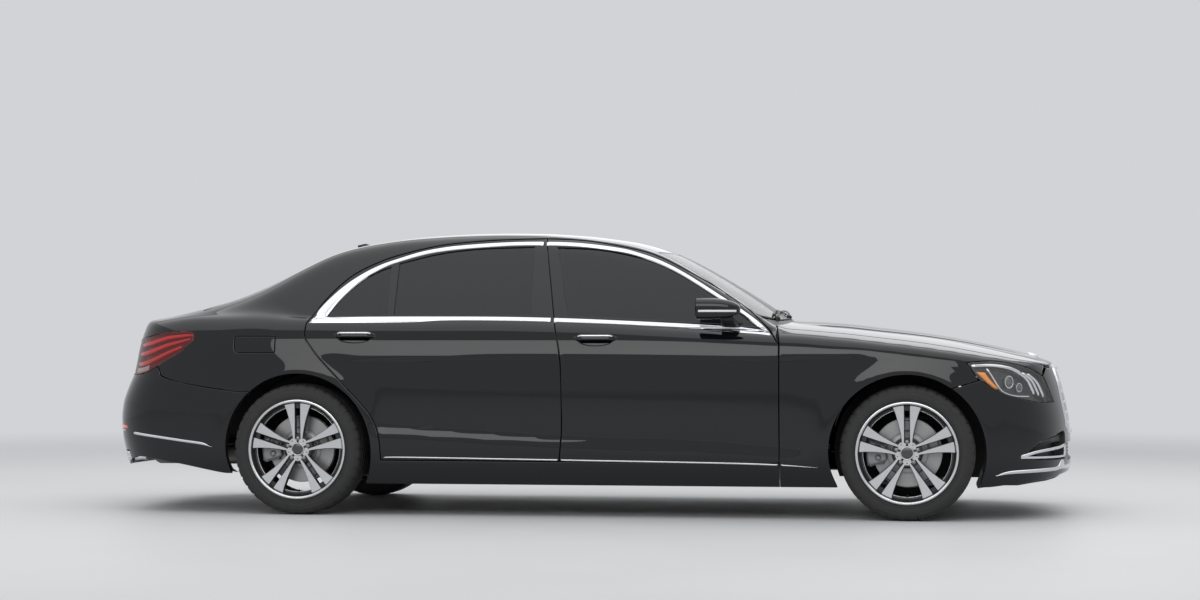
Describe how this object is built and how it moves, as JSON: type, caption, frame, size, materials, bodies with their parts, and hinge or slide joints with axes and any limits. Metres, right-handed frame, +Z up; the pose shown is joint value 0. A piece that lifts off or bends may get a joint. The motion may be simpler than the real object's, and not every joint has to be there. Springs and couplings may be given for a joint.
{
  "type": "long-wheelbase luxury sedan",
  "caption": "Four-door luxury sedan with hinged doors, hood and boot lid, steered front wheels and turning wheels, hollow cabin and boot.",
  "frame": {"origin": "on the ground under the middle of the car's length and width", "axes": "+X to the front of the car, +Y to its left, +Z up"},
  "size_m": [5.16, 2.12, 1.496],
  "materials": {
    "paint": "gloss black clear-coated paint",
    "glass": "smoke-tinted safety glass",
    "bright_trim": "polished and satin bright metal",
    "lamp_clear": "clear lens over bright reflectors",
    "lamp_red": "gloss red lens",
    "tyre": "matt black rubber",
    "alloy": "machined faces over dark grey",
    "brake_iron": "ground braking faces",
    "chassis": "cast and painted metal",
    "underbody": "satin black sealed metal",
    "liner": "matt black moulding",
    "engine": "cast metal under a black cover",
    "exhaust": "heat-dulled steel",
    "trim": "soft black trim",
    "seat_leather": "black leather"
  },
  "bodies": {
    "root": {"floor_pan": "underbody", "body_sides": "paint", "roof_panel": "paint", "bulkhead": "underbody", "parcel_shelf": "trim", "front_fenders": "paint", "front_bumper": "paint", "grille": "bright_trim", "rear_bumper": "paint", "headlamps": "lamp_clear", "tail_lamps": "lamp_red", "windshield": "glass", "rear_window": "glass", "wheel_arch_liners": "liner", "front_subframe": "chassis", "front_wishbones": "chassis", "rear_axle": "chassis", "engine": "engine", "exhaust": "exhaust", "dashboard": "trim", "front_seats": "seat_leather", "rear_seat": "seat_leather"},
    "front_door_right": {"front_door_right": "paint", "front_door_glass_right": "glass", "mirror_right": "paint"},
    "rear_door_right": {"rear_door_right": "paint", "rear_door_glass_right": "glass"},
    "front_door_left": {"front_door_left": "paint", "front_door_glass_left": "glass", "mirror_left": "paint"},
    "rear_door_left": {"rear_door_left": "paint", "rear_door_glass_left": "glass"},
    "hood": {"hood": "paint"},
    "trunk_lid": {"trunk_lid": "paint"},
    "fuel_flap": {"fuel_flap": "paint"},
    "steering_wheel": {"steering_wheel": "trim"},
    "knuckle_left": {"knuckle_left": "chassis"},
    "knuckle_right": {"knuckle_right": "chassis"},
    "front_wheel_left": {"front_rim_left": "alloy", "front_tyre_left": "tyre", "front_brake_disc_left": "brake_iron"},
    "front_wheel_right": {"front_rim_right": "alloy", "front_tyre_right": "tyre", "front_brake_disc_right": "brake_iron"},
    "rear_wheel_left": {"rear_rim_left": "alloy", "rear_tyre_left": "tyre", "rear_brake_disc_left": "brake_iron"},
    "rear_wheel_right": {"rear_rim_right": "alloy", "rear_tyre_right": "tyre", "rear_brake_disc_right": "brake_iron"}
  },
  "joints": [
    {"name": "front_door_right_hinge", "type": "hinge", "parent": "root", "child": "front_door_right", "pos_m": [1.024, -0.9415, 0.6], "axis": [0, 0, 1], "range_deg": [0, 70]},
    {"name": "rear_door_right_hinge", "type": "hinge", "parent": "root", "child": "rear_door_right", "pos_m": [-0.095, -0.9415, 0.6], "axis": [0, 0, 1], "range_deg": [0, 70]},
    {"name": "front_door_left_hinge", "type": "hinge", "parent": "root", "child": "front_door_left", "pos_m": [1.024, 0.9415, 0.6], "axis": [0, 0, -1], "range_deg": [0, 70]},
    {"name": "rear_door_left_hinge", "type": "hinge", "parent": "root", "child": "rear_door_left", "pos_m": [-0.095, 0.9415, 0.6], "axis": [0, 0, -1], "range_deg": [0, 70]},
    {"name": "hood_hinge", "type": "hinge", "parent": "root", "child": "hood", "pos_m": [1.15, 0, 0.985], "axis": [0, -1, 0], "range_deg": [0, 50]},
    {"name": "trunk_lid_hinge", "type": "hinge", "parent": "root", "child": "trunk_lid", "pos_m": [-2.074, 0, 1.07], "axis": [0, 1, 0], "range_deg": [0, 78]},
    {"name": "fuel_flap_hinge", "type": "hinge", "parent": "root", "child": "fuel_flap", "pos_m": [-1.562, -0.925, 0.889], "axis": [0, 0, 1], "range_deg": [0, 85]},
    {"name": "steer_left", "type": "hinge", "parent": "root", "child": "knuckle_left", "pos_m": [1.735, 0.742, 0.342], "axis": [0, 0, 1], "range_deg": [-36, 36]},
    {"name": "steer_right", "type": "hinge", "parent": "root", "child": "knuckle_right", "pos_m": [1.735, -0.742, 0.342], "axis": [0, 0, 1], "range_deg": [-36, 36]},
    {"name": "front_wheel_left_spin", "type": "hinge", "parent": "knuckle_left", "child": "front_wheel_left", "pos_m": [1.735, 0.812, 0.342], "axis": [0, 1, 0], "continuous": true},
    {"name": "front_wheel_right_spin", "type": "hinge", "parent": "knuckle_right", "child": "front_wheel_right", "pos_m": [1.735, -0.812, 0.342], "axis": [0, 1, 0], "continuous": true},
    {"name": "rear_wheel_left_spin", "type": "hinge", "parent": "root", "child": "rear_wheel_left", "pos_m": [-1.43, 0.8185, 0.342], "axis": [0, 1, 0], "continuous": true},
    {"name": "rear_wheel_right_spin", "type": "hinge", "parent": "root", "child": "rear_wheel_right", "pos_m": [-1.43, -0.8185, 0.342], "axis": [0, 1, 0], "continuous": true},
    {"name": "steering_wheel_turn", "type": "hinge", "parent": "root", "child": "steering_wheel", "pos_m": [0.43, 0.375, 0.872], "axis": [-0.9135, 0, 0.4067], "range_deg": [-470, 470]}
  ],
  "couplings": [
    {"joint": "steer_right", "follows": "steer_left", "ratio": 1},
    {"joint": "steering_wheel_turn", "follows": "steer_left", "ratio": 13}
  ]
}
